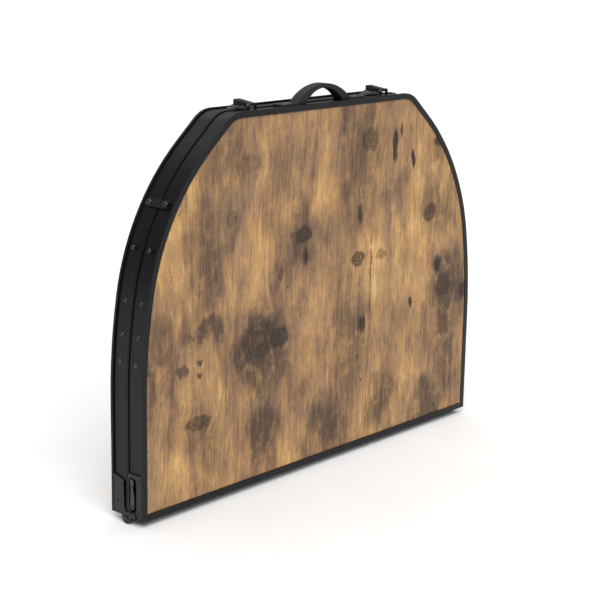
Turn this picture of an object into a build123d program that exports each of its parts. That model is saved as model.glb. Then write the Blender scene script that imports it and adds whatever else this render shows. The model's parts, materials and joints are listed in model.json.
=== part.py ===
"""Suitcase folding table: two identical D-shaped halves that close on their inner sides.

Frame: the closed case stands on its hinge line. X runs along the hinge, the seam between the
halves is the plane Y = 0, the front half lies on the -Y side, and Z = 0 is the floor.
Each piece of a half is drawn on the front half. The rear half is the same half turned about Z.
In a half, "depth" is the distance from the seam towards the table top, and "inset" is the
distance inwards from the outline of the half.
"""

import os
from math import cos, radians, sin, sqrt

from build123d import *

os.makedirs("parts", exist_ok=True)

# Driving dimensions, mm
HALF_WIDTH = 400.0
SIDE_HEIGHT = 180.0
EASE_RADIUS, EASE_ANGLE = 900.0, 10.0
SHOULDER_RADIUS, SHOULDER_ANGLE = 372.0, 39.0
SLOPE_LENGTH = 48.0
CORNER_RADIUS, CORNER_ANGLE = 50.0, 41.0
SEAM_GAP = 0.4
HALF_DEPTH = 35.0

# Hinge
EYE_RADIUS = 9.5
HINGE_Z = EYE_RADIUS
RAIL_Z = HINGE_Z + 1.5
EYE_CLEARANCE = 0.7
PIN_RADIUS = 3.0
PIN_HEAD_RADIUS = 4.2
RUNNING_FIT = 0.05
PIN_INNER_X = 394.6
EYE_INNER_X, EYE_MIDDLE_X, EYE_OUTER_X = 397.4, 399.6, 402.1
EYE_SIDE_GAP = 0.3

# Channel section of the perimeter frame and the fold rail
RIM_WIDTH = 9.5
RIM_THICKNESS = 1.4
RIM_BACK = 30.5
BAND_INSET = 2.6
WALL = 1.8
SEAM_LIP_INSET = 0.9
SEAM_LIP_DEPTH = 2.6
GROOVE_FLOOR, SEAM_GROOVE, RIM_GROOVE = 3.7, 1.6, 2.1
FLANGE_INSET = 14.0
FLANGE = 1.4
MITRE_HEIGHT = 20.0

# Board
BOARD_BACK = 26.8
BOARD_FRONT = 33.5
BOARD_INSET = 4.6

# Cross rail
RAIL_WIDTH, RAIL_NEAR, RAIL_WALL = 20.0, 10.0, 1.6
CROSS_RAIL_Z, CROSS_RAIL_HALF = RAIL_Z + 304.0, 371.0

# Legs: radius, depth of the axis, length from the pin to the foot's sole
LEG_RADIUS, LEG_WALL, LEG_DEPTH = 11.0, 1.3, 13.5
LEG_LENGTH = 680.0
LEG_X = {"left": -320.0, "right": 345.0}
LEG_Z = {"left": RAIL_Z + 338.5, "right": RAIL_Z + 377.5}
LEG_WAY = {"left": 1, "right": -1}
PLUG_LENGTH, PLUG_TAIL, PLUG_WIDTH = 20.0, 24.0, 20.0
LEG_PIN_RADIUS = 4.0
FOOT_RADIUS, FOOT_LENGTH, FOOT_INSIDE = 12.0, 26.0, 20.0
EAR_GAP, EAR_THICKNESS, EAR_RADIUS = 0.4, 2.2, 11.0
BRACKET_PLATE, BRACKET_BACK, BRACKET_FRONT = 1.8, 11.5, 30.0
CLIP_LENGTH, CLIP_WALL, CLIP_GAP = 18.0, 2.0, 0.4
CLIP_X = {"left": 230.0, "right": -205.0}

# Side rivets, screws and brackets
RIVET_Z = (RAIL_Z + 279.3, RAIL_Z + 329.3, RAIL_Z + 406.5)
SCREW_Z = RAIL_Z + 238.6
RIVET_HEAD_RADIUS, RIVET_HEAD_HEIGHT, RIVET_RADIUS = 3.8, 2.3, 2.0
SIDE_DEPTH = 17.5
SCREW_HEAD_RADIUS, SCREW_HEAD_HEIGHT = 4.0, 0.5
SIDE_BRACKET_HEIGHT, SIDE_BRACKET_DEPTH, SIDE_BRACKET_THICKNESS = 190.0, 15.0, 2.0

# Corner pieces at the two ends of the hinge line
PLATE_NEAR, PLATE_FAR = 3.0, 30.4
PLATE_A_OUTER_X, PLATE_A_HEIGHT = 399.9, 70.0
WEB_NEAR, WEB_FAR, WEB_HEIGHT = 0.6, 20.0, 8.5
CUP_FLOOR_X, CUP_BACK_X = 394.4, 392.6
CUP_WIDTH, CUP_HEIGHT, CUP_CORNER, CUP_WALL = 16.5, 54.0, 6.5, 1.2
CUP_DEPTH, CUP_Z = 12.15, RAIL_Z + 37.0
CATCH_INNER_X, CATCH_OUTER_X = 396.2, 398.8
CATCH_DISCS = ((8.6, 57.0, 4.3), (8.9, 48.5, 2.3), (10.2, 30.0, 4.3), (9.6, 17.0, 4.6))
CATCH_BORE = 1.8
CORNER_RIVETS = {"left": ((24.0, 9.0), (24.0, 60.0)), "right": ((23.0, 18.0),)}
NOTCH_NEAR, NOTCH_FAR, NOTCH_LOW, NOTCH_HIGH = 4.2, 10.2, 12.0, 54.0

# Side keeper that bridges the seam on the shoulder
KEEPER_ANGLE = 32.2
KEEPER_LENGTH, KEEPER_WIDTH, KEEPER_THICKNESS = 51.0, 13.0, 2.4
KEEPER_RISE = 2.1
STUD_RADIUS, STUD_SLOT = 2.4, 5.8
STUD_HEAD_RADIUS, STUD_HEAD_HEIGHT, STUD_HEAD_GAP = 4.4, 2.6, 0.4
STUD_HEAD_RISE = KEEPER_RISE + KEEPER_THICKNESS + STUD_HEAD_GAP
COLLAR_RADIUS = 5.0

# Top latches
LATCH_X = 157.5
LATCH_PIVOT_Y, LATCH_PIVOT_RISE, LATCH_PIN_RADIUS = -18.5, 9.3, 1.6
LATCH_BASE_LENGTH, LATCH_BASE_WIDTH, LATCH_BASE_SHEET = 28.0, 14.0, 1.5
LATCH_EAR_RADIUS = 2.5
LATCH_SCREW_SHIFT = 11.0
LEVER_WIDTH, LEVER_GAP = 13.0, 0.4
LEVER_NOSE_RADIUS = 2.2
LEVER_TIP_Y, LEVER_TIP_BOTTOM, LEVER_TIP_TOP = 15.0, 5.9, 15.4
ROD_RADIUS, ROD_NEAR_Y, ROD_FAR_Y, ROD_RISE = 1.2, -15.0, 1.0, 4.4
STRIKE_WIDTH, STRIKE_SHEET, STRIKE_NEAR, STRIKE_FAR = 16.0, 1.2, 11.0, 28.0
STRIKE_LIP, STRIKE_TAB, STRIKE_TAB_Y = 3.0, 6.9, 16.5
STRIKE_SCREW_Y = 23.5

# Carrying handle
HANDLE_DEPTH, HANDLE_WIDTH = 17.5, 20.0
HANDLE_OUTER_HALF, HANDLE_OUTER_RISE = 65.0, 31.5
HANDLE_INNER_HALF, HANDLE_INNER_RISE = 44.0, 24.5
HANDLE_FOOT, HANDLE_NECK, HANDLE_END = 3.8, 13.0, 84.0
MOUNT_START, MOUNT_LENGTH, MOUNT_WIDTH, MOUNT_HEIGHT = 66.0, 34.0, 22.0, 5.4
MOUNT_WALL, MOUNT_SCREW_X = 1.4, 92.0
SCREW_RADIUS, SMALL_HEAD_RADIUS, SMALL_HEAD_HEIGHT = 1.5, 2.7, 1.4

# The flat top of the outline, and the band below its rim
EASE_END = radians(EASE_ANGLE)
SHOULDER_END = radians(EASE_ANGLE + SHOULDER_ANGLE)
TOP_Z = (
    RAIL_Z
    + SIDE_HEIGHT
    + EASE_RADIUS * sin(EASE_END)
    + SHOULDER_RADIUS * (sin(SHOULDER_END) - sin(EASE_END))
    + SLOPE_LENGTH * cos(SHOULDER_END)
    + CORNER_RADIUS * (1 - sin(SHOULDER_END))
)
BAND_TOP = TOP_Z - BAND_INSET


def outline(inset, mode=Mode.ADD):
    """The D-shaped outline of a half, inset from its edge, as a face in the current sketch."""
    side = HALF_WIDTH - inset
    with BuildLine() as edge:
        bottom = Line((0, RAIL_Z + inset), (side, RAIL_Z + inset))
        upright = Line(bottom @ 1, (side, RAIL_Z + SIDE_HEIGHT))
        ease = JernArc(upright @ 1, upright % 1, EASE_RADIUS - inset, EASE_ANGLE)
        shoulder = JernArc(ease @ 1, ease % 1, SHOULDER_RADIUS - inset, SHOULDER_ANGLE)
        slope = PolarLine(shoulder @ 1, SLOPE_LENGTH, direction=shoulder % 1)
        corner = JernArc(slope @ 1, slope % 1, CORNER_RADIUS - inset, CORNER_ANGLE)
        Line(corner @ 1, (0, (corner @ 1).Y))
        mirror(about=Plane.YZ)
    make_face(edge.edges(), mode=mode)


def ring(outer_inset, inner_inset, near, far, mode=Mode.ADD):
    """A band that follows the outline, between two insets and two depths."""
    with BuildSketch(Plane.XZ.offset(near)) as band:
        outline(outer_inset)
        outline(inner_inset, mode=Mode.SUBTRACT)
    extrude(band.sketch, amount=far - near, mode=mode)


def channel():
    """The closed ring of channel section, before its mitres part the fold rail from the rest."""
    wall_inner = BAND_INSET + WALL
    ring(BAND_INSET, wall_inner, SEAM_GAP, HALF_DEPTH - RIM_THICKNESS)
    ring(0, RIM_WIDTH, HALF_DEPTH - RIM_THICKNESS, HALF_DEPTH)
    ring(0, WALL, RIM_BACK, HALF_DEPTH - RIM_THICKNESS)
    ring(0, wall_inner, RIM_BACK, RIM_BACK + RIM_THICKNESS)
    ring(SEAM_LIP_INSET, wall_inner, SEAM_GAP, SEAM_LIP_DEPTH)
    ring(wall_inner, FLANGE_INSET, SEAM_GAP, SEAM_GAP + FLANGE)
    ring(wall_inner, FLANGE_INSET, BOARD_BACK - FLANGE, BOARD_BACK)
    for near, width in ((SEAM_LIP_DEPTH, SEAM_GROOVE), (RIM_BACK - RIM_GROOVE, RIM_GROOVE)):
        ring(BAND_INSET - 0.5, GROOVE_FLOOR, near, near + width, Mode.SUBTRACT)


def mitre_wedge(mode):
    """The trapezium between the two mitres at the hinge line, through the whole depth."""
    half = HALF_WIDTH + 1
    with BuildSketch(Plane.XZ) as wedge:
        with BuildLine():
            Polyline(
                (-half, RAIL_Z - 1),
                (half, RAIL_Z - 1),
                (half - MITRE_HEIGHT, RAIL_Z - 1 + MITRE_HEIGHT),
                (MITRE_HEIGHT - half, RAIL_Z - 1 + MITRE_HEIGHT),
                close=True,
            )
        make_face()
    extrude(wedge.sketch, amount=HALF_DEPTH, mode=mode)


def cut_hinge_room():
    """Takes the room of the hinge eyes and the pin's inner end out of both ends of a piece."""
    for side in (-1, 1):
        for start, radius in ((EYE_INNER_X, EYE_RADIUS + EYE_CLEARANCE), (PIN_INNER_X - 0.6, 4.2)):
            with BuildSketch(Plane.YZ.offset(side * start)) as room:
                with Locations((0, HINGE_Z)):
                    Circle(radius)
            extrude(room.sketch, amount=side * 10, mode=Mode.SUBTRACT)


def cup_sketch(grow):
    """The rounded window of the corner cup, in a sketch on the YZ plane."""
    with Locations((-CUP_DEPTH, CUP_Z)):
        RectangleRounded(CUP_WIDTH + 2 * grow, CUP_HEIGHT + 2 * grow, CUP_CORNER + grow)


def ease_x(height, inset):
    """Half the width of the outline at a height on the straight side or the ease above it."""
    rise = max(0, height - RAIL_Z - SIDE_HEIGHT)
    radius = EASE_RADIUS - inset
    return HALF_WIDTH - EASE_RADIUS + sqrt(radius**2 - rise**2)


def side_plane(side, height, depth=SIDE_DEPTH):
    """A plane on the band of the side at a height, looking outwards, with its X along -Y."""
    rise = max(0, height - RAIL_Z - SIDE_HEIGHT) / EASE_RADIUS
    return Plane(
        origin=(side * ease_x(height, BAND_INSET), -depth, height),
        x_dir=(0, -1, 0),
        z_dir=(side * sqrt(1 - rise**2), 0, rise),
    )


def shoulder_plane(side, inset, depth=0.0):
    """A plane on the shoulder where the keeper sits, looking outwards, with its X along -Y."""
    turn = radians(KEEPER_ANGLE)
    centre_x = HALF_WIDTH - EASE_RADIUS + (EASE_RADIUS - SHOULDER_RADIUS) * cos(EASE_END)
    centre_z = RAIL_Z + SIDE_HEIGHT + (EASE_RADIUS - SHOULDER_RADIUS) * sin(EASE_END)
    reach = SHOULDER_RADIUS - inset
    return Plane(
        origin=(side * (centre_x + reach * cos(turn)), -depth, centre_z + reach * sin(turn)),
        x_dir=(0, -1, 0),
        z_dir=(side * cos(turn), 0, sin(turn)),
    )


def fastener(plane, head_radius, head_height, shank_radius, grip):
    """Adds a domed head standing on a plane, and its shank below, to the current part."""
    cap_radius = (head_radius**2 + head_height**2) / (2 * head_height)
    section = Plane(origin=plane.origin, x_dir=plane.x_dir, z_dir=plane.y_dir * -1)
    with BuildSketch(section) as half_section:
        with BuildLine():
            Polyline((0, head_height), (0, -grip), (shank_radius, -grip), (shank_radius, 0), (head_radius, 0))
            RadiusArc((head_radius, 0), (0, head_height), -cap_radius)
        make_face()
    revolve(half_section.sketch, axis=Axis(plane.origin, plane.z_dir))


def disc_on(plane, radius, thickness, mode=Mode.ADD):
    """A round disc or hole standing on a plane."""
    with BuildSketch(plane) as disc:
        Circle(radius)
    extrude(disc.sketch, amount=thickness, mode=mode)


def linked_discs(plane, discs, thickness):
    """Discs in a row on a plane, each joined to the next by their common tangents."""
    for pair in zip(discs, discs[1:]):
        with BuildSketch(plane) as bar:
            for x, y, radius in pair:
                with Locations((x, y)):
                    Circle(radius)
            make_hull()
        extrude(bar.sketch, amount=thickness)


def corner_rivet_planes(side):
    """Planes on the outside of a corner plate, where its rivets sit."""
    sign = -1 if side == "left" else 1
    face_x = PLATE_A_OUTER_X if side == "left" else EYE_MIDDLE_X
    for depth, rise in CORNER_RIVETS[side]:
        yield Plane(
            origin=(sign * face_x, -depth, RAIL_Z + rise),
            x_dir=(0, -1, 0),
            z_dir=(sign, 0, 0),
        )


def top_plane(x, y, rise=0.0):
    """A plane on the band of the flat top, looking up."""
    return Plane(origin=(x, y, BAND_TOP + rise))


def cut_shanks(planes, radius, depth):
    """Drills a hole to a depth behind each plane, from a little in front of it."""
    for plane in planes:
        disc_on(plane.offset(-depth), radius, depth + 1, Mode.SUBTRACT)


pieces = {}


def half_piece(name, part):
    """Keeps a piece of the front half, and the same piece turned onto the rear half."""
    pieces[f"front_{name}"] = part
    pieces[f"rear_{name}"] = part.rotate(Axis.Z, 180)


# The board, the frame around it and the rail along the hinge line

with BuildPart() as board:
    with BuildSketch(Plane.XZ.offset(BOARD_BACK)):
        outline(BOARD_INSET)
    extrude(amount=BOARD_FRONT - BOARD_BACK)
half_piece("board", board.part)

with BuildPart() as perimeter_frame:
    channel()
    mitre_wedge(Mode.SUBTRACT)
    with BuildSketch(Plane.YZ.offset(-HALF_WIDTH)):
        cup_sketch(CUP_WALL)
    extrude(amount=HALF_WIDTH - CUP_FLOOR_X, mode=Mode.SUBTRACT)
    cut_hinge_room()
    with BuildSketch(Plane.YZ.offset(HALF_WIDTH - FLANGE_INSET)):
        with Locations((-(NOTCH_NEAR + NOTCH_FAR) / 2, RAIL_Z + (NOTCH_LOW + NOTCH_HIGH) / 2)):
            Rectangle(NOTCH_FAR - NOTCH_NEAR, NOTCH_HIGH - NOTCH_LOW)
    extrude(amount=FLANGE_INSET, mode=Mode.SUBTRACT)
    for side in (-1, 1):
        cut_shanks([side_plane(side, height) for height in (*RIVET_Z, SCREW_Z)], RIVET_RADIUS, 8)
        cut_shanks([shoulder_plane(side, BAND_INSET, SIDE_DEPTH)], STUD_RADIUS, 8)
    for side in ("left", "right"):
        cut_shanks(corner_rivet_planes(side), RIVET_RADIUS, 8)
half_piece("perimeter_frame", perimeter_frame.part)

with BuildPart() as fold_rail:
    channel()
    mitre_wedge(Mode.INTERSECT)
    cut_hinge_room()
half_piece("fold_rail", fold_rail.part)


# The cross rail behind the board, and the brackets inside the sides

with BuildPart() as cross_rail:
    with BuildSketch(Plane.YZ.offset(-CROSS_RAIL_HALF)):
        with Locations((-(RAIL_NEAR + BOARD_BACK) / 2, CROSS_RAIL_Z)):
            RectangleRounded(BOARD_BACK - RAIL_NEAR, RAIL_WIDTH, 1.5)
            Rectangle(
                BOARD_BACK - RAIL_NEAR - 2 * RAIL_WALL,
                RAIL_WIDTH - 2 * RAIL_WALL,
                mode=Mode.SUBTRACT,
            )
    extrude(amount=2 * CROSS_RAIL_HALF)
half_piece("cross_rail", cross_rail.part)

with BuildPart() as side_brackets:
    for side in (-1, 1):
        bottom = SCREW_Z - 8
        top = bottom + SIDE_BRACKET_HEIGHT
        with BuildSketch(Plane.XZ.offset(SIDE_DEPTH - SIDE_BRACKET_DEPTH / 2)):
            outline(BAND_INSET + WALL)
            outline(BAND_INSET + WALL + SIDE_BRACKET_THICKNESS, mode=Mode.SUBTRACT)
            with Locations((side * HALF_WIDTH, (bottom + top) / 2)):
                Rectangle(60, top - bottom, mode=Mode.INTERSECT)
        extrude(amount=SIDE_BRACKET_DEPTH, mode=Mode.ADD)
    for side in (-1, 1):
        cut_shanks([side_plane(side, height) for height in (*RIVET_Z, SCREW_Z)], RIVET_RADIUS, 8)
half_piece("side_brackets", side_brackets.part)

with BuildPart() as side_screws:
    for side in (-1, 1):
        head = side_plane(side, SCREW_Z)
        disc_on(head.offset(-WALL - SIDE_BRACKET_THICKNESS), RIVET_RADIUS, WALL + SIDE_BRACKET_THICKNESS)
        disc_on(head, SCREW_HEAD_RADIUS, SCREW_HEAD_HEIGHT)
half_piece("side_screws", side_screws.part)


# Legs: each swings on a pin that runs up the half, parallel to Z, and lies along X when stowed

def leg_plane(side, along):
    """A plane across a leg, a distance along it from the pin, looking towards the foot."""
    way = LEG_WAY[side]
    origin = (LEG_X[side] + way * along, -LEG_DEPTH, LEG_Z[side])
    return Plane(origin=origin, x_dir=(0, 0, 1), z_dir=(way, 0, 0))


def pin_plane(side, rise):
    """A plane across the leg's pin, a distance above the leg's axis, looking up."""
    return Plane(origin=(LEG_X[side], -LEG_DEPTH, LEG_Z[side] + rise), z_dir=(0, 0, 1))


for side in ("left", "right"):
    way = LEG_WAY[side]

    with BuildPart() as leg_plug:
        disc_on(pin_plane(side, -PLUG_WIDTH / 2), LEG_RADIUS, PLUG_WIDTH)
        with BuildSketch(leg_plane(side, 0)):
            RectangleRounded(PLUG_WIDTH, 2 * LEG_RADIUS, 3)
        extrude(amount=PLUG_LENGTH)
        disc_on(leg_plane(side, PLUG_LENGTH), LEG_RADIUS - LEG_WALL, PLUG_TAIL)
        disc_on(pin_plane(side, -PLUG_WIDTH), LEG_PIN_RADIUS + RUNNING_FIT, 2 * PLUG_WIDTH, Mode.SUBTRACT)
    half_piece(f"{side}_leg_plug", leg_plug.part)

    with BuildPart() as leg_tube:
        tube_length = LEG_LENGTH - PLUG_LENGTH - FOOT_LENGTH + FOOT_INSIDE
        disc_on(leg_plane(side, PLUG_LENGTH), LEG_RADIUS, tube_length)
        disc_on(leg_plane(side, PLUG_LENGTH), LEG_RADIUS - LEG_WALL, tube_length, Mode.SUBTRACT)
    half_piece(f"{side}_leg_tube", leg_tube.part)

    with BuildPart() as foot:
        foot_start = LEG_LENGTH - FOOT_LENGTH
        disc_on(leg_plane(side, foot_start), FOOT_RADIUS, FOOT_LENGTH)
        disc_on(leg_plane(side, foot_start), LEG_RADIUS, FOOT_INSIDE, Mode.SUBTRACT)
        sole = faces().sort_by(Axis.X)[-1 if way > 0 else 0]
        fillet(sole.edges(), radius=2.5)
    half_piece(f"{side}_foot", foot.part)

    with BuildPart() as leg_bracket:
        ear_start = PLUG_WIDTH / 2 + EAR_GAP
        for rise in (ear_start, -ear_start - EAR_THICKNESS):
            with BuildSketch(pin_plane(side, rise)):
                Circle(EAR_RADIUS)
                with Locations((0, (LEG_DEPTH - BOARD_BACK) / 2)):
                    Rectangle(2 * EAR_RADIUS, BOARD_BACK - LEG_DEPTH)
                Circle(LEG_PIN_RADIUS, mode=Mode.SUBTRACT)
            extrude(amount=EAR_THICKNESS)
        plate_span = BRACKET_BACK + BRACKET_FRONT
        with BuildSketch(Plane.XZ.offset(BOARD_BACK - BRACKET_PLATE)):
            with Locations((LEG_X[side] + way * (plate_span / 2 - BRACKET_BACK), LEG_Z[side])):
                RectangleRounded(plate_span, 2 * (ear_start + EAR_THICKNESS), 2)
        extrude(amount=BRACKET_PLATE)
    half_piece(f"{side}_leg_bracket", leg_bracket.part)

with BuildPart() as leg_pins:
    pin_half = PLUG_WIDTH / 2 + EAR_GAP + EAR_THICKNESS
    for side in ("left", "right"):
        disc_on(pin_plane(side, -pin_half), LEG_PIN_RADIUS, 2 * pin_half)
        disc_on(pin_plane(side, pin_half), LEG_PIN_RADIUS + 1.8, 1.2)
        disc_on(pin_plane(side, -pin_half - 1.2), LEG_PIN_RADIUS + 1.8, 1.2)
half_piece("leg_pins", leg_pins.part)

with BuildPart() as leg_clips:
    for side in ("left", "right"):
        inner = LEG_RADIUS + CLIP_GAP
        mouth = LEG_DEPTH - 2.0
        with BuildSketch(Plane.YZ.offset(CLIP_X[side] - CLIP_LENGTH / 2)):
            with Locations((-(mouth + BOARD_BACK) / 2, LEG_Z[side])):
                RectangleRounded(BOARD_BACK - mouth, 2 * (inner + CLIP_WALL), 1.2)
            with Locations((-LEG_DEPTH, LEG_Z[side])):
                Circle(inner, mode=Mode.SUBTRACT)
                with Locations((LEG_DEPTH / 2, 0)):
                    Rectangle(LEG_DEPTH, 2 * inner, mode=Mode.SUBTRACT)
        extrude(amount=CLIP_LENGTH)
half_piece("leg_clips", leg_clips.part)


# Corner pieces. The left one is a cup with a catch in it and the outer hinge eye,
# the right one is a plain plate with the inner hinge eye

def hinge_eye(side, inner_x, outer_x):
    """A round eye about the hinge line, bored for its pin."""
    for radius, mode in ((EYE_RADIUS, Mode.ADD), (PIN_RADIUS + RUNNING_FIT, Mode.SUBTRACT)):
        with BuildSketch(Plane.YZ.offset(side * inner_x)) as eye:
            with Locations((0, HINGE_Z)):
                Circle(radius)
        extrude(eye.sketch, amount=side * (outer_x - inner_x), mode=mode)


with BuildPart() as catch_corner:
    with BuildSketch(Plane.YZ.offset(-EYE_INNER_X)):
        with Locations((-(PLATE_NEAR + PLATE_FAR) / 2, RAIL_Z + PLATE_A_HEIGHT / 2)):
            Rectangle(PLATE_FAR - PLATE_NEAR, PLATE_A_HEIGHT)
        with Locations((0, HINGE_Z)):
            Circle(EYE_RADIUS + EYE_CLEARANCE, mode=Mode.SUBTRACT)
    extrude(amount=EYE_INNER_X - PLATE_A_OUTER_X)
    with BuildSketch(Plane.YZ.offset(-CUP_BACK_X)):
        cup_sketch(CUP_WALL)
    extrude(amount=CUP_BACK_X - EYE_INNER_X)
    with BuildSketch(Plane.YZ.offset(-CUP_FLOOR_X)):
        cup_sketch(0)
    extrude(amount=CUP_FLOOR_X - PLATE_A_OUTER_X, mode=Mode.SUBTRACT)
    with BuildSketch(Plane.YZ.offset(-PLATE_A_OUTER_X)):
        with Locations((-(WEB_NEAR + WEB_FAR) / 2, RAIL_Z + WEB_HEIGHT / 2)):
            Rectangle(WEB_FAR - WEB_NEAR, WEB_HEIGHT)
    extrude(amount=PLATE_A_OUTER_X - EYE_OUTER_X)
    hinge_eye(-1, PLATE_A_OUTER_X, EYE_OUTER_X)
    catch_foot = Plane(
        origin=(-CUP_FLOOR_X, -CATCH_DISCS[-1][0], RAIL_Z + CATCH_DISCS[-1][1]),
        x_dir=(0, -1, 0),
        z_dir=(-1, 0, 0),
    )
    disc_on(catch_foot.offset(-1.8), CATCH_BORE - RUNNING_FIT, 1.8, Mode.SUBTRACT)
    cut_shanks(corner_rivet_planes("left"), RIVET_RADIUS, 8)
half_piece("catch_corner", catch_corner.part)

with BuildPart() as plain_corner:
    with BuildSketch(Plane.YZ.offset(EYE_INNER_X)):
        with BuildLine():
            Polyline(
                (-PLATE_FAR, RAIL_Z),
                (-PLATE_FAR, RAIL_Z + 62.0),
                (-8.8, RAIL_Z + 56.0),
                (-7.2, RAIL_Z + 14.0),
                (-5.5, RAIL_Z + 7.8),
                (-SEAM_GAP, RAIL_Z + 7.8),
                (-SEAM_GAP, RAIL_Z),
                close=True,
            )
        make_face()
    extrude(amount=EYE_MIDDLE_X - EYE_INNER_X)
    hinge_eye(1, EYE_INNER_X, EYE_MIDDLE_X)
    cut_shanks(corner_rivet_planes("right"), RIVET_RADIUS, 8)
half_piece("plain_corner", plain_corner.part)

with BuildPart() as rivets:
    for side in (-1, 1):
        for height in RIVET_Z:
            fastener(
                side_plane(side, height),
                RIVET_HEAD_RADIUS,
                RIVET_HEAD_HEIGHT,
                RIVET_RADIUS,
                WALL + SIDE_BRACKET_THICKNESS,
            )
    for side in ("left", "right"):
        for rivet_plane in corner_rivet_planes(side):
            fastener(rivet_plane, RIVET_HEAD_RADIUS - 0.4, 1.4, RIVET_RADIUS, 3.8)
    fastener(
        catch_foot.offset(CATCH_OUTER_X - CUP_FLOOR_X + 0.2),
        CATCH_BORE + 1.2,
        0.9,
        CATCH_BORE - RUNNING_FIT,
        CATCH_OUTER_X - CUP_BACK_X + 0.2,
    )
half_piece("rivets", rivets.part)

with BuildPart() as corner_catch:
    catch_plane = Plane(origin=(-CATCH_INNER_X, 0, RAIL_Z), x_dir=(0, -1, 0), z_dir=(-1, 0, 0))
    linked_discs(catch_plane, CATCH_DISCS, CATCH_OUTER_X - CATCH_INNER_X)
    disc_on(catch_foot, CATCH_BORE, 9, Mode.SUBTRACT)
half_piece("corner_catch", corner_catch.part)


# Keeper: a bar on the right shoulder that reaches over the other half's stud

with BuildPart() as keeper:
    bar = shoulder_plane(1, BAND_INSET - KEEPER_RISE)
    with BuildSketch(bar):
        SlotOverall(KEEPER_LENGTH, KEEPER_WIDTH)
        with Locations((-KEEPER_LENGTH / 2 + (KEEPER_LENGTH / 2 - SIDE_DEPTH) / 2 - 2, 0)):
            Rectangle(KEEPER_LENGTH / 2 - SIDE_DEPTH + 4, STUD_SLOT, mode=Mode.SUBTRACT)
        with Locations((-SIDE_DEPTH, 0)):
            Circle(STUD_SLOT / 2, mode=Mode.SUBTRACT)
        with Locations((SIDE_DEPTH, 0)):
            Circle(STUD_RADIUS, mode=Mode.SUBTRACT)
    extrude(amount=KEEPER_THICKNESS)
half_piece("keeper", keeper.part)

with BuildPart() as keeper_screws:
    for side, head_rise in ((1, KEEPER_RISE + KEEPER_THICKNESS), (-1, STUD_HEAD_RISE)):
        head = shoulder_plane(side, BAND_INSET - head_rise, SIDE_DEPTH)
        fastener(head, STUD_HEAD_RADIUS, STUD_HEAD_HEIGHT, STUD_RADIUS, head_rise + WALL)
        collar_height = KEEPER_RISE if side > 0 else KEEPER_RISE - STUD_HEAD_GAP
        disc_on(shoulder_plane(side, BAND_INSET, SIDE_DEPTH), COLLAR_RADIUS, collar_height)
half_piece("keeper_screws", keeper_screws.part)


# The hinge's two pins, one at each end

with BuildPart() as hinge_pin:
    inner_end = Plane(origin=(-PIN_INNER_X, 0, HINGE_Z), x_dir=(0, -1, 0), z_dir=(-1, 0, 0))
    outer_end = inner_end.offset(EYE_OUTER_X + EYE_SIDE_GAP - PIN_INNER_X)
    fastener(outer_end, PIN_HEAD_RADIUS, 1.5, PIN_RADIUS, EYE_OUTER_X + EYE_SIDE_GAP - PIN_INNER_X)
pieces["left_hinge_pin"] = hinge_pin.part
pieces["right_hinge_pin"] = hinge_pin.part.rotate(Axis.Z, 180)


# Carrying handle and its two end mounts, on the flat top of the front half

with BuildPart() as handle:
    with BuildSketch(Plane.XZ.offset(HANDLE_DEPTH - HANDLE_WIDTH / 2)):
        with BuildLine():
            foot_z = BAND_TOP + HANDLE_FOOT
            Polyline((-HANDLE_OUTER_HALF, foot_z), (-HANDLE_OUTER_HALF, BAND_TOP), (-HANDLE_INNER_HALF, BAND_TOP))
            ThreePointArc(
                (-HANDLE_INNER_HALF, BAND_TOP),
                (0, BAND_TOP + HANDLE_INNER_RISE),
                (HANDLE_INNER_HALF, BAND_TOP),
            )
            Polyline((HANDLE_INNER_HALF, BAND_TOP), (HANDLE_OUTER_HALF, BAND_TOP), (HANDLE_OUTER_HALF, foot_z))
            ThreePointArc(
                (HANDLE_OUTER_HALF, foot_z),
                (0, BAND_TOP + HANDLE_OUTER_RISE),
                (-HANDLE_OUTER_HALF, foot_z),
            )
        make_face()
    extrude(amount=HANDLE_WIDTH)
    arch_edges = edges().filter_by(GeomType.CIRCLE)
    fillet(arch_edges, radius=2.2)
    with BuildSketch(top_plane(0, -HANDLE_DEPTH)):
        Rectangle(2 * HANDLE_END, HANDLE_NECK)
        for side in (-1, 1):
            with Locations((side * (HANDLE_END - 7), 0)):
                Rectangle(14, HANDLE_WIDTH - 2)
        Rectangle(2 * HANDLE_OUTER_HALF - 4, HANDLE_WIDTH, mode=Mode.SUBTRACT)
    extrude(amount=HANDLE_FOOT - MOUNT_WALL / 2)
pieces["handle"] = handle.part

screw_planes = [top_plane(side * MOUNT_SCREW_X, -HANDLE_DEPTH, MOUNT_HEIGHT) for side in (-1, 1)]
with BuildPart() as mount:
    with BuildSketch(top_plane(MOUNT_START + MOUNT_LENGTH / 2, -HANDLE_DEPTH)):
        RectangleRounded(MOUNT_LENGTH, MOUNT_WIDTH, 3)
    extrude(amount=MOUNT_HEIGHT)
    top_edges = faces().sort_by(Axis.Z)[-1].edges()
    fillet(top_edges, radius=1.2)
    pocket_start = MOUNT_START + 2 * MOUNT_WALL
    with BuildSketch(top_plane(0, -HANDLE_DEPTH)):
        with Locations(((pocket_start + HANDLE_END + 0.4) / 2, 0)):
            Rectangle(HANDLE_END + 0.4 - pocket_start, HANDLE_WIDTH - 1.4)
        with Locations((MOUNT_START, 0)):
            Rectangle(20, HANDLE_NECK + 0.6)
    extrude(amount=MOUNT_HEIGHT - MOUNT_WALL, mode=Mode.SUBTRACT)
    cut_shanks(screw_planes, SCREW_RADIUS, 8)
pieces["handle_mount_right"] = mount.part
pieces["handle_mount_left"] = mount.part.mirror(Plane.YZ)


# Top latches: a base with ears and a lever on the front half, a strike on the rear half

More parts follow.
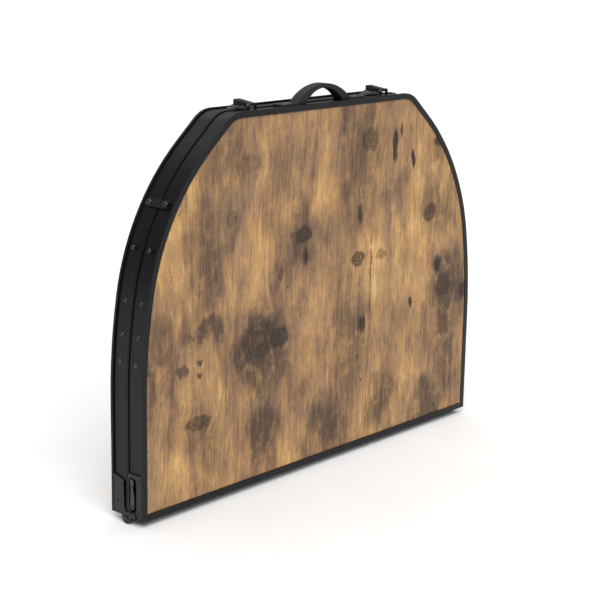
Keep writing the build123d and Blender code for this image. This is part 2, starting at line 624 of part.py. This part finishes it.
for side, sign in (("left", -1), ("right", 1)):
    middle = sign * LATCH_X
    screw_x = middle - sign * LATCH_SCREW_SHIFT
    pivot_z = BAND_TOP + LATCH_PIVOT_RISE
    lever_start = Plane.YZ.offset(middle - LEVER_WIDTH / 2)

    with BuildPart() as latch_base:
        with BuildSketch(top_plane(middle, -SIDE_DEPTH)):
            RectangleRounded(LATCH_BASE_LENGTH, LATCH_BASE_WIDTH, 2)
        extrude(amount=LATCH_BASE_SHEET)
        for start in (LEVER_WIDTH / 2 + LEVER_GAP, -LEVER_WIDTH / 2 - LEVER_GAP - LATCH_BASE_SHEET):
            with BuildSketch(Plane.YZ.offset(middle + start)):
                with Locations((LATCH_PIVOT_Y, pivot_z)):
                    Circle(LATCH_EAR_RADIUS)
                with Locations((LATCH_PIVOT_Y, (BAND_TOP + pivot_z) / 2)):
                    Rectangle(2 * LATCH_EAR_RADIUS, LATCH_PIVOT_RISE)
                with Locations((LATCH_PIVOT_Y, pivot_z)):
                    Circle(LATCH_PIN_RADIUS, mode=Mode.SUBTRACT)
            extrude(amount=LATCH_BASE_SHEET)
        cut_shanks([top_plane(screw_x, -SIDE_DEPTH, LATCH_BASE_SHEET)], SCREW_RADIUS, 4)
    pieces[f"{side}_latch_base"] = latch_base.part

    with BuildPart() as latch_lever:
        with BuildSketch(lever_start):
            with Locations((LATCH_PIVOT_Y, pivot_z)):
                Circle(LEVER_NOSE_RADIUS)
            with Locations(
                (LEVER_TIP_Y - 1.5, BAND_TOP + LEVER_TIP_TOP - 1.5),
                (LEVER_TIP_Y - 1.5, BAND_TOP + LEVER_TIP_BOTTOM + 1.5),
            ):
                Circle(1.5)
            make_hull()
        extrude(amount=LEVER_WIDTH)
        with BuildSketch(lever_start):
            with Locations((LATCH_PIVOT_Y, pivot_z)):
                Circle(LATCH_PIN_RADIUS + RUNNING_FIT)
        extrude(amount=LEVER_WIDTH, mode=Mode.SUBTRACT)
        for y in (ROD_NEAR_Y, ROD_FAR_Y):
            disc_on(top_plane(middle, y), ROD_RADIUS, ROD_RISE + 6, Mode.SUBTRACT)
    pieces[f"{side}_latch_lever"] = latch_lever.part

    with BuildPart() as latch_rod:
        rod_z = BAND_TOP + ROD_RISE
        with BuildLine():
            FilletPolyline(
                (middle, ROD_NEAR_Y, rod_z + 6),
                (middle, ROD_NEAR_Y, rod_z),
                (middle, ROD_FAR_Y, rod_z),
                (middle, ROD_FAR_Y, rod_z + 6),
                radius=1.6,
            )
        with BuildSketch(top_plane(middle, ROD_NEAR_Y, ROD_RISE + 6)):
            Circle(ROD_RADIUS)
        sweep()
    pieces[f"{side}_latch_rod"] = latch_rod.part

    with BuildPart() as strike:
        with BuildSketch(Plane.YZ.offset(middle - STRIKE_WIDTH / 2)):
            with BuildLine():
                far_tab = STRIKE_TAB_Y + STRIKE_SHEET
                near_lip = STRIKE_NEAR + STRIKE_SHEET
                sheet_z = BAND_TOP + STRIKE_SHEET
                Polyline(
                    (STRIKE_NEAR, BAND_TOP),
                    (STRIKE_FAR, BAND_TOP),
                    (STRIKE_FAR, sheet_z),
                    (far_tab, sheet_z),
                    (far_tab, BAND_TOP + STRIKE_TAB),
                    (STRIKE_TAB_Y, BAND_TOP + STRIKE_TAB),
                    (STRIKE_TAB_Y, sheet_z),
                    (near_lip, sheet_z),
                    (near_lip, BAND_TOP + STRIKE_LIP),
                    (STRIKE_NEAR, BAND_TOP + STRIKE_LIP),
                    close=True,
                )
            make_face()
        extrude(amount=STRIKE_WIDTH)
        cut_shanks([top_plane(middle, STRIKE_SCREW_Y, STRIKE_SHEET)], SCREW_RADIUS, 4)
    pieces[f"{side}_strike"] = strike.part

with BuildPart() as latch_pins:
    pin_half = LEVER_WIDTH / 2 + LEVER_GAP + LATCH_BASE_SHEET
    for sign in (-1, 1):
        with BuildSketch(Plane.YZ.offset(sign * LATCH_X - pin_half - 0.6)):
            with Locations((LATCH_PIVOT_Y, BAND_TOP + LATCH_PIVOT_RISE)):
                Circle(LATCH_PIN_RADIUS)
        extrude(amount=2 * pin_half + 1.2)
pieces["latch_pins"] = latch_pins.part

latch_screw_planes = [
    top_plane(sign * (LATCH_X - LATCH_SCREW_SHIFT), -SIDE_DEPTH, LATCH_BASE_SHEET) for sign in (-1, 1)
]
strike_screw_planes = [top_plane(sign * LATCH_X, STRIKE_SCREW_Y, STRIKE_SHEET) for sign in (-1, 1)]

with BuildPart() as top_screws:
    for plane in screw_planes:
        fastener(plane, SMALL_HEAD_RADIUS, SMALL_HEAD_HEIGHT, SCREW_RADIUS, MOUNT_HEIGHT + WALL)
    for plane in latch_screw_planes:
        fastener(plane, SMALL_HEAD_RADIUS, SMALL_HEAD_HEIGHT, SCREW_RADIUS, LATCH_BASE_SHEET + WALL)
pieces["top_screws"] = top_screws.part

with BuildPart() as strike_screws:
    for plane in strike_screw_planes:
        fastener(plane, SMALL_HEAD_RADIUS, SMALL_HEAD_HEIGHT, SCREW_RADIUS, STRIKE_SHEET + WALL)
pieces["strike_screws"] = strike_screws.part

for half, planes in (("front", screw_planes + latch_screw_planes), ("rear", strike_screw_planes)):
    with BuildPart() as drilled_frame:
        add(pieces[f"{half}_perimeter_frame"])
        cut_shanks(planes, SCREW_RADIUS, MOUNT_HEIGHT + 4)
    pieces[f"{half}_perimeter_frame"] = drilled_frame.part


for name, part in pieces.items():
    part.label = name
    export_step(part, f"parts/{name}.step")
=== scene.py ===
import json
from math import cos, radians, sin

import bpy
from mathutils import Matrix, Vector

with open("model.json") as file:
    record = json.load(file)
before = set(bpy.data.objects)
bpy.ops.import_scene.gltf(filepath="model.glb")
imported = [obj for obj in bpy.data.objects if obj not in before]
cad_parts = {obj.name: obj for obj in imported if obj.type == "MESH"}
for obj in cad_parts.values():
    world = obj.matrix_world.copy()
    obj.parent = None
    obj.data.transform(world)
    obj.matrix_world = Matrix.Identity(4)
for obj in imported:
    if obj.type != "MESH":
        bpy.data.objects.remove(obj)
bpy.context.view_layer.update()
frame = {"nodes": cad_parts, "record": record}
bpy.context.scene.view_settings.view_transform = "Standard"


# Node helpers

class Nodes:
    """Builds one material's node tree; each call adds a node and returns its output socket."""

    def __init__(self, name):
        self.material = bpy.data.materials.new(name)
        self.material.use_nodes = True
        self.tree = self.material.node_tree
        self.tree.nodes.clear()
        self.shader = self.add("ShaderNodeBsdfPrincipled")
        out = self.add("ShaderNodeOutputMaterial")
        self.tree.links.new(self.shader.outputs["BSDF"], out.inputs["Surface"])
        self.place = self.add("ShaderNodeTexCoord").outputs["Object"]

    def add(self, kind):
        return self.tree.nodes.new(kind)

    def plug(self, socket, value):
        if isinstance(value, bpy.types.NodeSocket):
            self.tree.links.new(value, socket)
        elif value is not None:
            socket.default_value = value

    def math(self, operation, a, b=None):
        node = self.add("ShaderNodeMath")
        node.operation = operation
        for socket, value in zip(node.inputs, (a, b)):
            self.plug(socket, value)
        return node.outputs[0]

    def vector(self, operation, a, b=None, out="Vector"):
        node = self.add("ShaderNodeVectorMath")
        node.operation = operation
        for socket, value in zip(node.inputs, (a, b)):
            self.plug(socket, value)
        return node.outputs[out]

    def noise(self, place, scale=1.0, detail=4.0, rough=0.5, distortion=0.0):
        node = self.add("ShaderNodeTexNoise")
        self.plug(node.inputs["Vector"], place)
        node.inputs["Scale"].default_value = scale
        node.inputs["Detail"].default_value = detail
        node.inputs["Roughness"].default_value = rough
        node.inputs["Distortion"].default_value = distortion
        return node.outputs["Fac"]

    def step(self, value, low, high, to_low=0.0, to_high=1.0):
        """A smooth step from to_low at low to to_high at high."""
        node = self.add("ShaderNodeMapRange")
        node.interpolation_type = "SMOOTHSTEP"
        sockets = (value, low, high, to_low, to_high)
        for name, item in zip(("Value", "From Min", "From Max", "To Min", "To Max"), sockets):
            self.plug(node.inputs[name], item)
        return node.outputs["Result"]

    def mix(self, amount, a, b):
        node = self.add("ShaderNodeMix")
        node.data_type = "RGBA"
        self.plug(node.inputs[0], amount)
        self.plug(node.inputs[6], (*a, 1) if isinstance(a, tuple) else a)
        self.plug(node.inputs[7], (*b, 1) if isinstance(b, tuple) else b)
        return node.outputs[2]

    def ramp(self, value, stops):
        node = self.add("ShaderNodeValToRGB")
        elements = node.color_ramp.elements
        while len(elements) < len(stops):
            elements.new(0.5)
        for element, (position, colour) in zip(elements, stops):
            element.position = position
            element.color = (*colour, 1)
        self.plug(node.inputs["Fac"], value)
        return node.outputs["Color"]

    def stretch(self, scale, place=None):
        """The place multiplied along each axis."""
        return self.vector("MULTIPLY", place or self.place, scale)

    def finish(self, colour, rough, height=None, bump=0.0, depth=0.001, edge=0.0):
        """Connects the colour, roughness and bump, over edges rounded to a radius."""
        self.plug(self.shader.inputs["Base Color"], colour)
        self.plug(self.shader.inputs["Roughness"], rough)
        normal = None
        if edge:
            bevel = self.add("ShaderNodeBevel")
            bevel.samples = 4
            bevel.inputs["Radius"].default_value = edge
            normal = bevel.outputs["Normal"]
        if height is not None:
            node = self.add("ShaderNodeBump")
            node.inputs["Strength"].default_value = bump
            node.inputs["Distance"].default_value = depth
            self.plug(node.inputs["Height"], height)
            if normal is not None:
                self.plug(node.inputs["Normal"], normal)
            normal = node.outputs["Normal"]
        if normal is not None:
            self.plug(self.shader.inputs["Normal"], normal)
        return self.material


def srgb(red, green, blue):
    """A linear colour from 0 to 255 screen values."""
    def linear(value):
        value = value / 255
        return value / 12.92 if value <= 0.04045 else ((value + 0.055) / 1.055) ** 2.4
    return tuple(linear(value) for value in (red, green, blue))


# Metal, plastic and plated finishes

def coated(
    name, colour, rough, grain=900.0, bump=0.12, edge=0.0006, wear=0.35, shine=0.3, pocket_shade_depth=None,
):
    """A satin coating with a fine grain, slight mottling of its gloss and faint handling marks.

    Nearer to the middle plane x = 0 than the given depth, the colour is painted near black: painted
    shade standing in for a shaded recess.
    """
    n = Nodes(name)
    n.shader.inputs["Specular IOR Level"].default_value = shine
    fine = n.noise(n.place, grain, 3, 0.6)
    cloud = n.noise(n.place, 14, 4, 0.6)
    marks = n.step(n.noise(n.stretch((60, 60, 9)), 1.0, 5, 0.65), 0.60, 0.74)
    lift = n.math("MULTIPLY", marks, wear)
    light = tuple(value * 1.6 + 0.004 for value in colour)
    tone = n.mix(n.step(cloud, 0.35, 0.7, 0.0, 0.22), colour, light)
    tone = n.mix(n.math("MULTIPLY", lift, 0.4), tone, light)
    # Painted shade: within the given depth of the middle plane the colour turns near black, standing in
    # for the shade in the corner cup's recess
    if pocket_shade_depth:
        split = n.add("ShaderNodeSeparateXYZ")
        n.plug(split.inputs[0], n.place)
        pocket_shade = n.step(n.math("ABSOLUTE", split.outputs["X"]), pocket_shade_depth, pocket_shade_depth - 0.0006)
        tone = n.mix(pocket_shade, tone, srgb(3, 3, 3))
    base_gloss = n.step(cloud, 0.3, 0.7, rough - 0.05, rough + 0.06)
    gloss = n.math("ADD", base_gloss, n.math("MULTIPLY", lift, 0.10))
    return n.finish(tone, gloss, fine, bump, 0.0003, edge)


def plated(name, colour, rough):
    """Bare or plated metal, brushed along the width, with dull blotches."""
    n = Nodes(name)
    n.shader.inputs["Metallic"].default_value = 1.0
    lines = n.noise(n.stretch((40, 900, 900)), 1.0, 3, 0.6)
    blotch = n.noise(n.place, 55, 4, 0.6)
    dull = tuple(value * 0.72 for value in colour)
    tone = n.mix(n.step(blotch, 0.45, 0.7, 0.0, 0.6), colour, dull)
    base_gloss = n.step(blotch, 0.35, 0.7, rough, rough + 0.14)
    gloss = n.math("ADD", base_gloss, n.math("MULTIPLY", lines, 0.08))
    return n.finish(tone, gloss, lines, 0.06, 0.0002, 0.0004)


# The wood-grain board

# Knots and dark flecks: centre x, centre height, half width, half height, darkness, ring strength
KNOTS = (
    (-0.153, 0.246, 0.034, 0.034, 0.55, 1.0),
    (-0.107, 0.242, 0.021, 0.015, 0.75, 1.0),
    (-0.317, 0.227, 0.012, 0.008, 0.70, 0.6),
    (-0.285, 0.140, 0.025, 0.009, 0.62, 0.8),
    (-0.360, 0.283, 0.022, 0.036, 0.34, 0.9),
    (-0.051, 0.400, 0.018, 0.012, 0.80, 0.3),
    (-0.044, 0.365, 0.008, 0.018, 0.70, 0.0),
    (-0.103, 0.343, 0.008, 0.016, 0.45, 0.0),
    (0.085, 0.340, 0.015, 0.012, 0.80, 0.3),
    (0.087, 0.413, 0.007, 0.018, 0.60, 0.0),
    (0.110, 0.538, 0.021, 0.017, 0.55, 0.7),
    (0.175, 0.523, 0.008, 0.034, 0.80, 0.0),
    (0.192, 0.547, 0.005, 0.014, 0.60, 0.0),
    (0.225, 0.494, 0.006, 0.018, 0.90, 0.0),
    (0.279, 0.395, 0.016, 0.015, 0.72, 0.5),
    (0.293, 0.519, 0.014, 0.012, 0.60, 0.0),
    (0.147, 0.340, 0.013, 0.008, 0.50, 0.4),
    (0.230, 0.240, 0.005, 0.012, 0.85, 0.0),
    (0.381, 0.237, 0.010, 0.019, 0.62, 0.0),
    (0.323, 0.257, 0.020, 0.018, 0.60, 0.7),
    (0.305, 0.300, 0.014, 0.020, 0.70, 0.0),
    (0.100, 0.227, 0.012, 0.018, 0.66, 0.0),
    (-0.213, 0.447, 0.012, 0.009, 0.38, 0.5),
    (-0.178, 0.526, 0.026, 0.013, 0.34, 0.9),
    (-0.281, 0.235, 0.008, 0.005, 0.62, 0.0),
    (-0.282, 0.214, 0.006, 0.005, 0.60, 0.0),
)
# Broad smoky patches: centre x, centre height, half width, half height, darkness
PATCHES = (
    (-0.150, 0.225, 0.075, 0.070, 0.80),
    (-0.275, 0.285, 0.030, 0.035, 0.75),
    (-0.243, 0.262, 0.038, 0.026, 0.60),
    (-0.265, 0.390, 0.045, 0.110, 0.55),
    (-0.240, 0.545, 0.060, 0.060, 0.35),
    (-0.135, 0.100, 0.034, 0.062, 0.78),
    (-0.270, 0.110, 0.036, 0.060, 0.50),
    (0.020, 0.075, 0.060, 0.045, 0.62),
    (0.070, 0.200, 0.050, 0.110, 0.50),
    (0.330, 0.240, 0.046, 0.085, 0.82),
    (0.335, 0.145, 0.040, 0.080, 0.58),
    (0.290, 0.050, 0.050, 0.040, 0.70),
    (0.165, 0.075, 0.045, 0.055, 0.62),
    (0.310, 0.405, 0.060, 0.055, 0.48),
    (0.080, 0.470, 0.055, 0.120, 0.46),
    (0.300, 0.505, 0.045, 0.030, 0.42),
    (-0.045, 0.385, 0.050, 0.040, 0.48),
    (-0.385, 0.200, 0.020, 0.080, 0.45),
    (0.100, 0.540, 0.055, 0.045, 0.42),
    (-0.120, 0.480, 0.030, 0.080, 0.30),
)
# Warm, light stretches: centre x, centre height, half width, half height
GLOWS = (
    (0.215, 0.290, 0.110, 0.110),
    (-0.015, 0.500, 0.050, 0.120),
    (0.000, 0.250, 0.060, 0.130),
    (-0.360, 0.420, 0.040, 0.120),
    (-0.330, 0.060, 0.075, 0.050),
    (-0.080, 0.060, 0.055, 0.050),
    (0.250, 0.450, 0.045, 0.090),
    (0.370, 0.400, 0.030, 0.100),
    (0.235, 0.120, 0.040, 0.090),
    (-0.175, 0.370, 0.045, 0.080),
)
# Splits along the grain: x, lowest point, highest point, strength
SPLITS = (
    (0.119, 0.220, 0.400, 0.9),
    (0.090, 0.130, 0.330, 0.6),
    (0.115, 0.020, 0.200, 0.45),
    (0.153, 0.410, 0.500, 0.6),
    (-0.225, 0.120, 0.270, 0.4),
    (0.084, 0.360, 0.560, 0.35),
    (-0.008, 0.330, 0.480, 0.3),
)

# Twice the height of the print's middle
PRINT_HEIGHT = 0.607
# How light the plain wood is, and how much lighter in its warm stretches
TONE_MIDDLE, GLOW_LIFT = 0.47, 0.17
# The depth from the seam where the board's face begins and its backing ends
FACE_DEPTH, BACKING_DEPTH = 0.0320, 0.0310


def wood_board(name):
    """Rustic planks printed on a panel: streaked grain that bends round knots, under smoky patches."""
    n = Nodes(name)
    split = n.add("ShaderNodeSeparateXYZ")
    n.plug(split.inputs[0], n.place)
    x, height = split.outputs["X"], split.outputs["Z"]
    # The rear board carries the same print the other way up
    turned = n.math("SUBTRACT", PRINT_HEIGHT, height)
    height = n.step(split.outputs["Y"], -0.001, 0.001, height, turned)
    flat = n.add("ShaderNodeCombineXYZ")
    n.plug(flat.inputs["X"], x)
    n.plug(flat.inputs["Z"], height)
    flat = flat.outputs[0]

    def wobble(scale, detail):
        """A noise whose colour pushes the place about."""
        node = n.add("ShaderNodeTexNoise")
        n.plug(node.inputs["Vector"], n.stretch((1, 1, 0.5), flat))
        node.inputs["Scale"].default_value = scale
        node.inputs["Detail"].default_value = detail
        node.inputs["Roughness"].default_value = 0.62
        return node.outputs["Fac"], n.vector("SUBTRACT", node.outputs["Color"], (0.5, 0.5, 0.5))

    # Ragged copies of the place, so that knots and patches have broken outlines
    drift, small_shift = wobble(85, 5)
    large_shift = wobble(17, 6)[1]
    ragged = n.vector("ADD", flat, n.vector("MULTIPLY", small_shift, (0.018, 0, 0.026)))
    rougher = n.vector("ADD", ragged, n.vector("MULTIPLY", large_shift, (0.115, 0, 0.200)))

    def distance(place, centre_x, centre_z, half_width, half_height):
        """0 at the centre of an ellipse and 1 at its edge."""
        away = n.vector("SUBTRACT", place, (centre_x, 0, centre_z))
        scaled = n.vector("MULTIPLY", away, (1 / half_width, 1, 1 / half_height))
        return n.vector("LENGTH", scaled, out="Value")

    # Knots: dark heart and rim, rings, and a push sideways on the grain around them
    heart, rings, push = 0.0, 0.0, 0.0
    for centre_x, centre_z, half_width, half_height, dark, ring in KNOTS:
        reach = distance(ragged, centre_x, centre_z, half_width, half_height)
        core = n.step(reach, 1.15, 0.45, 0.0, dark * 1.35)
        if ring:
            rim = n.math("MULTIPLY", n.step(reach, 0.55, 0.95), n.step(reach, 1.3, 0.95))
            rim = n.math("MULTIPLY", rim, 0.85 * dark)
            core = n.math("ADD", n.math("MULTIPLY", core, 0.72), rim)
            turns = n.math("SINE", n.math("MULTIPLY", reach, 19.0))
            core = n.math("MULTIPLY", core, n.math("ADD", n.math("MULTIPLY", turns, 0.30), 0.95))
            near = n.step(reach, 2.1, 0.5, 0.0, 0.5 * ring)
            rings = n.math("ADD", rings, n.math("MULTIPLY", turns, near))
        heart = n.math("MAXIMUM", heart, core)
        calm = distance(flat, centre_x, centre_z, half_width * 1.7, half_height * 2.2)
        bulge = n.step(calm, 1.6, 0.0)
        aside = n.math("SUBTRACT", x, centre_x)
        shove = n.math("MULTIPLY", n.math("MULTIPLY", aside, bulge), 0.62)
        push = n.math("ADD", push, shove)

    grain_x = n.math("SUBTRACT", x, push)
    sway = n.noise(n.stretch((3.2, 1, 2.4), flat), 1.0, 3, 0.5)
    grain_x = n.math("ADD", grain_x, n.math("MULTIPLY", sway, 0.055))
    grain = n.add("ShaderNodeCombineXYZ")
    n.plug(grain.inputs["X"], grain_x)
    n.plug(grain.inputs["Z"], height)
    grain = grain.outputs[0]

    # Grain at several widths, all drawn out along the height
    broad = n.noise(n.stretch((13, 1, 3.0), grain), 1.0, 6, 0.6, 0.6)
    cloud = n.noise(n.stretch((11, 1, 7.5), flat), 1.0, 7, 0.66, 0.5)
    columns = n.noise(n.stretch((10, 1, 0.7), grain), 1.0, 3, 0.55)
    flames = n.noise(n.stretch((52, 1, 19), grain), 1.0, 8, 0.74, 0.25)
    bands = n.noise(n.stretch((120, 1, 8), grain), 1.0, 4, 0.6, 0.3)
    streaks = n.noise(n.stretch((340, 1, 15), grain), 1.0, 4, 0.62)
    hairs = n.noise(n.stretch((1100, 1, 40), grain), 1.0, 3, 0.6)
    scuffs = n.noise(n.stretch((210, 1, 420), flat), 1.0, 4, 0.66)

    glow = 0.0
    for centre_x, centre_z, half_width, half_height in GLOWS:
        reach = distance(rougher, centre_x, centre_z, half_width, half_height)
        glow = n.math("MAXIMUM", glow, n.step(reach, 1.3, 0.1))
    smoke = 0.0
    for centre_x, centre_z, half_width, half_height, dark in PATCHES:
        reach = distance(rougher, centre_x, centre_z, half_width, half_height)
        smoke = n.math("MAXIMUM", smoke, n.step(reach, 1.45, 0.35, 0.0, dark))

    tone = n.math("ADD", n.math("MULTIPLY", glow, GLOW_LIFT), n.math("MULTIPLY", rings, 0.10))
    tone = n.math("ADD", tone, TONE_MIDDLE)
    parts = (
        (columns, 0.80),
        (broad, 0.75),
        (cloud, 1.10),
        (flames, 1.00),
        (bands, 0.50),
        (streaks, 0.60),
        (hairs, 0.40),
    )
    for part, weight in parts:
        tone = n.math("ADD", tone, n.math("MULTIPLY", n.math("SUBTRACT", part, 0.5), weight))
    colour = n.ramp(tone, (
        (0.04, srgb(78, 60, 49)),
        (0.22, srgb(110, 84, 64)),
        (0.40, srgb(142, 110, 80)),
        (0.56, srgb(166, 128, 88)),
        (0.70, srgb(186, 145, 94)),
        (0.84, srgb(202, 161, 104)),
        (0.97, srgb(219, 183, 130)),
    ))
    # Cooler, greyer wood in places
    grey = n.step(n.noise(n.stretch((7, 3, 9), flat), 1.0, 5, 0.6), 0.48, 0.68, 0.0, 0.6)
    colour = n.mix(grey, colour, n.mix(0.45, colour, srgb(128, 110, 94)))

    # Smoke settles in blotches and along the grain
    blotches = n.noise(n.stretch((30, 1, 22), flat), 1.0, 9, 0.76, 0.4)
    mottle = n.step(blotches, 0.36, 0.52, 0.50, 1.45)
    threads = n.math("ADD", n.math("MULTIPLY", streaks, 0.5), n.math("MULTIPLY", bands, 0.5))
    thread = n.step(threads, 0.40, 0.62, 1.0, 0.72)
    smoke = n.math("MULTIPLY", n.math("MULTIPLY", smoke, mottle), thread)
    colour = n.mix(n.math("MINIMUM", smoke, 0.9), colour, srgb(70, 55, 46))
    fleck_shape = n.noise(n.stretch((95, 1, 44), ragged), 1.0, 4, 0.6)
    fleck_depth = n.step(cloud, 0.58, 0.42, 0.35, 0.85)
    flecks = n.math("MULTIPLY", n.step(fleck_shape, 0.655, 0.70), fleck_depth)
    colour = n.mix(flecks, colour, srgb(58, 45, 38))
    colour = n.mix(n.math("MINIMUM", heart, 0.95), colour, srgb(40, 31, 27))

    # Dark pores, and small cross scuffs of the rough-sawn surface
    pores = n.step(n.noise(n.stretch((520, 1, 34), grain), 1.0, 3, 0.7), 0.58, 0.70, 0.0, 0.5)
    colour = n.mix(pores, colour, srgb(84, 64, 50))
    sawn = n.math("MULTIPLY", n.step(scuffs, 0.56, 0.70), n.step(cloud, 0.40, 0.58))
    colour = n.mix(n.math("MULTIPLY", sawn, 0.50), colour, srgb(74, 57, 46))

    cracks = 0.0
    for line_x, low, high, strength in SPLITS:
        bend = n.math("MULTIPLY", n.math("SUBTRACT", drift, 0.5), 0.010)
        off = n.math("ABSOLUTE", n.math("ADD", n.math("SUBTRACT", x, line_x), bend))
        line = n.step(off, 0.0024, 0.0004, 0.0, strength)
        ends = n.math("MULTIPLY", n.step(height, low, low + 0.04), n.step(height, high, high - 0.04))
        cracks = n.math("MAXIMUM", cracks, n.math("MULTIPLY", line, ends))
    broken = n.step(n.noise(n.stretch((1, 1, 40), flat), 1.0, 3, 0.6), 0.36, 0.50)
    cracks = n.math("MULTIPLY", cracks, broken)
    colour = n.mix(cracks, colour, srgb(38, 29, 24))

    # The backing behind the print is near black
    backing = n.step(n.math("ABSOLUTE", split.outputs["Y"]), FACE_DEPTH, BACKING_DEPTH)
    colour = n.mix(backing, colour, srgb(20, 19, 19))

    raised = n.math("ADD", n.math("MULTIPLY", streaks, 0.7), n.math("MULTIPLY", hairs, 0.5))
    sunk = n.math("ADD", n.math("MULTIPLY", cracks, 0.8), n.math("MULTIPLY", pores, 0.5))
    relief = n.math("SUBTRACT", raised, sunk)
    gloss = n.step(streaks, 0.3, 0.7, 0.64, 0.52)
    n.shader.inputs["Specular IOR Level"].default_value = 0.3
    return n.finish(colour, gloss, relief, 0.22, 0.0005)


FINISHES = {
    "table_board": wood_board("wood_board"),
    "frame_finish": coated("frame_black", srgb(10, 10, 14), rough=0.36, wear=0.15, shine=0.24),
    "cross_rail": plated("rail_aluminium", srgb(168, 170, 174), rough=0.34),
    "leg_tube": plated("leg_aluminium", srgb(205, 207, 210), rough=0.26),
    "black_plastic": coated("plastic_black", srgb(24, 24, 25), rough=0.50, grain=1400, bump=0.2),
    "zinc_steel": plated("zinc_steel", srgb(186, 184, 176), rough=0.32),
    "rivets": coated("rivet_black", srgb(18, 18, 20), rough=0.17, edge=0.0, shine=0.5),
    "side_screws": coated("screw_black", srgb(22, 22, 24), rough=0.22, edge=0.0, shine=0.5),
    # The corner plate's cup recess gets painted shade: near black colour inside the depth 0.3972 from
    # the middle plane
    "corner_plate": coated("corner_plate", srgb(24, 24, 27), rough=0.34, wear=0.4, pocket_shade_depth=0.3972),
    "corner_catch": coated("corner_catch", srgb(34, 34, 37), rough=0.20, wear=0.4, shine=0.5),
    "keeper": coated("keeper_black", srgb(22, 22, 24), rough=0.32),
    "keeper_screws": coated("keeper_screw_black", srgb(18, 18, 20), rough=0.18, edge=0.0, shine=0.5),
    "hinge_pin": plated("hinge_pin_steel", srgb(62, 62, 62), rough=0.22),
    "handle": coated("handle_plastic", srgb(22, 22, 23), rough=0.50, grain=1100, bump=0.45, edge=0.0012),
    "handle_mount": coated("handle_mount", srgb(26, 26, 28), rough=0.34, edge=0.0008, shine=0.45),
    "top_screws": coated("top_screw_black", srgb(22, 22, 24), rough=0.20, edge=0.0, shine=0.5),
    "latch_base": coated("latch_base", srgb(16, 16, 18), rough=0.36),
    "latch_lever": coated("latch_lever", srgb(16, 16, 17), rough=0.38, edge=0.0008),
    "latch_rod": plated("latch_rod_bright", srgb(236, 236, 238), rough=0.12),
    "strike": plated("strike_zinc", srgb(208, 208, 202), rough=0.28),
}

for entry in frame["record"]["subparts"]:
    node = frame["nodes"][entry["node"]]
    node.data.materials.clear()
    node.data.materials.append(FINISHES[entry["material_slot"]])


# Floor, light and camera

FLOOR_SIZE, FLOOR_Z = 150, -0.0004
bpy.ops.mesh.primitive_plane_add(size=FLOOR_SIZE, location=(0, 0, FLOOR_Z))
floor = bpy.context.object
floor.name = "floor"
ground = Nodes("floor_white")
speck = ground.step(ground.noise(ground.place, 6, 4, 0.6), 0.3, 0.7)
white = ground.mix(speck, srgb(249, 249, 249), srgb(253, 253, 253))
floor.data.materials.append(ground.finish(white, 0.75))

WORLD_STRENGTH = 0.34
world = bpy.data.worlds.new("studio")
bpy.context.scene.world = world
world.use_nodes = True
background = world.node_tree.nodes["Background"]
background.inputs["Color"].default_value = (1, 1, 1, 1)
background.inputs["Strength"].default_value = WORLD_STRENGTH


def sun(name, direction, strength, spread):
    """A distant light that shines from a direction, over an angle in degrees."""
    light = bpy.data.lights.new(name, "SUN")
    light.energy = strength
    light.angle = radians(spread)
    item = bpy.data.objects.new(name, light)
    item.rotation_euler = Vector(direction).to_track_quat("Z", "Y").to_euler()
    bpy.context.collection.objects.link(item)


sun("key", (-0.45, -0.75, 1.0), 2.1, 50)
sun("top", (0.3, 0.4, 1.2), 0.9, 70)
sun("glint", (-0.8, -0.5, 0.9), 0.35, 4)

PITCH, YAW, ROLL = radians(13.89), radians(42.03), radians(0.99)
EYE = Vector((-1.8528, -1.6518, 0.8914))
LENS, SENSOR_WIDTH = 92.96, 36
look = Vector((cos(PITCH) * cos(YAW), cos(PITCH) * sin(YAW), -sin(PITCH)))
right = Vector((sin(YAW), -cos(YAW), 0))
up = Vector((sin(PITCH) * cos(YAW), sin(PITCH) * sin(YAW), cos(PITCH)))
camera_x = cos(ROLL) * right + sin(ROLL) * up
camera_y = cos(ROLL) * up - sin(ROLL) * right
camera = bpy.data.objects.new("camera", bpy.data.cameras.new("camera"))
turn = Matrix((camera_x, camera_y, -look)).transposed().to_4x4()
camera.matrix_world = Matrix.Translation(EYE) @ turn
camera.data.lens = LENS
camera.data.sensor_width = SENSOR_WIDTH
bpy.context.collection.objects.link(camera)
bpy.context.scene.camera = camera
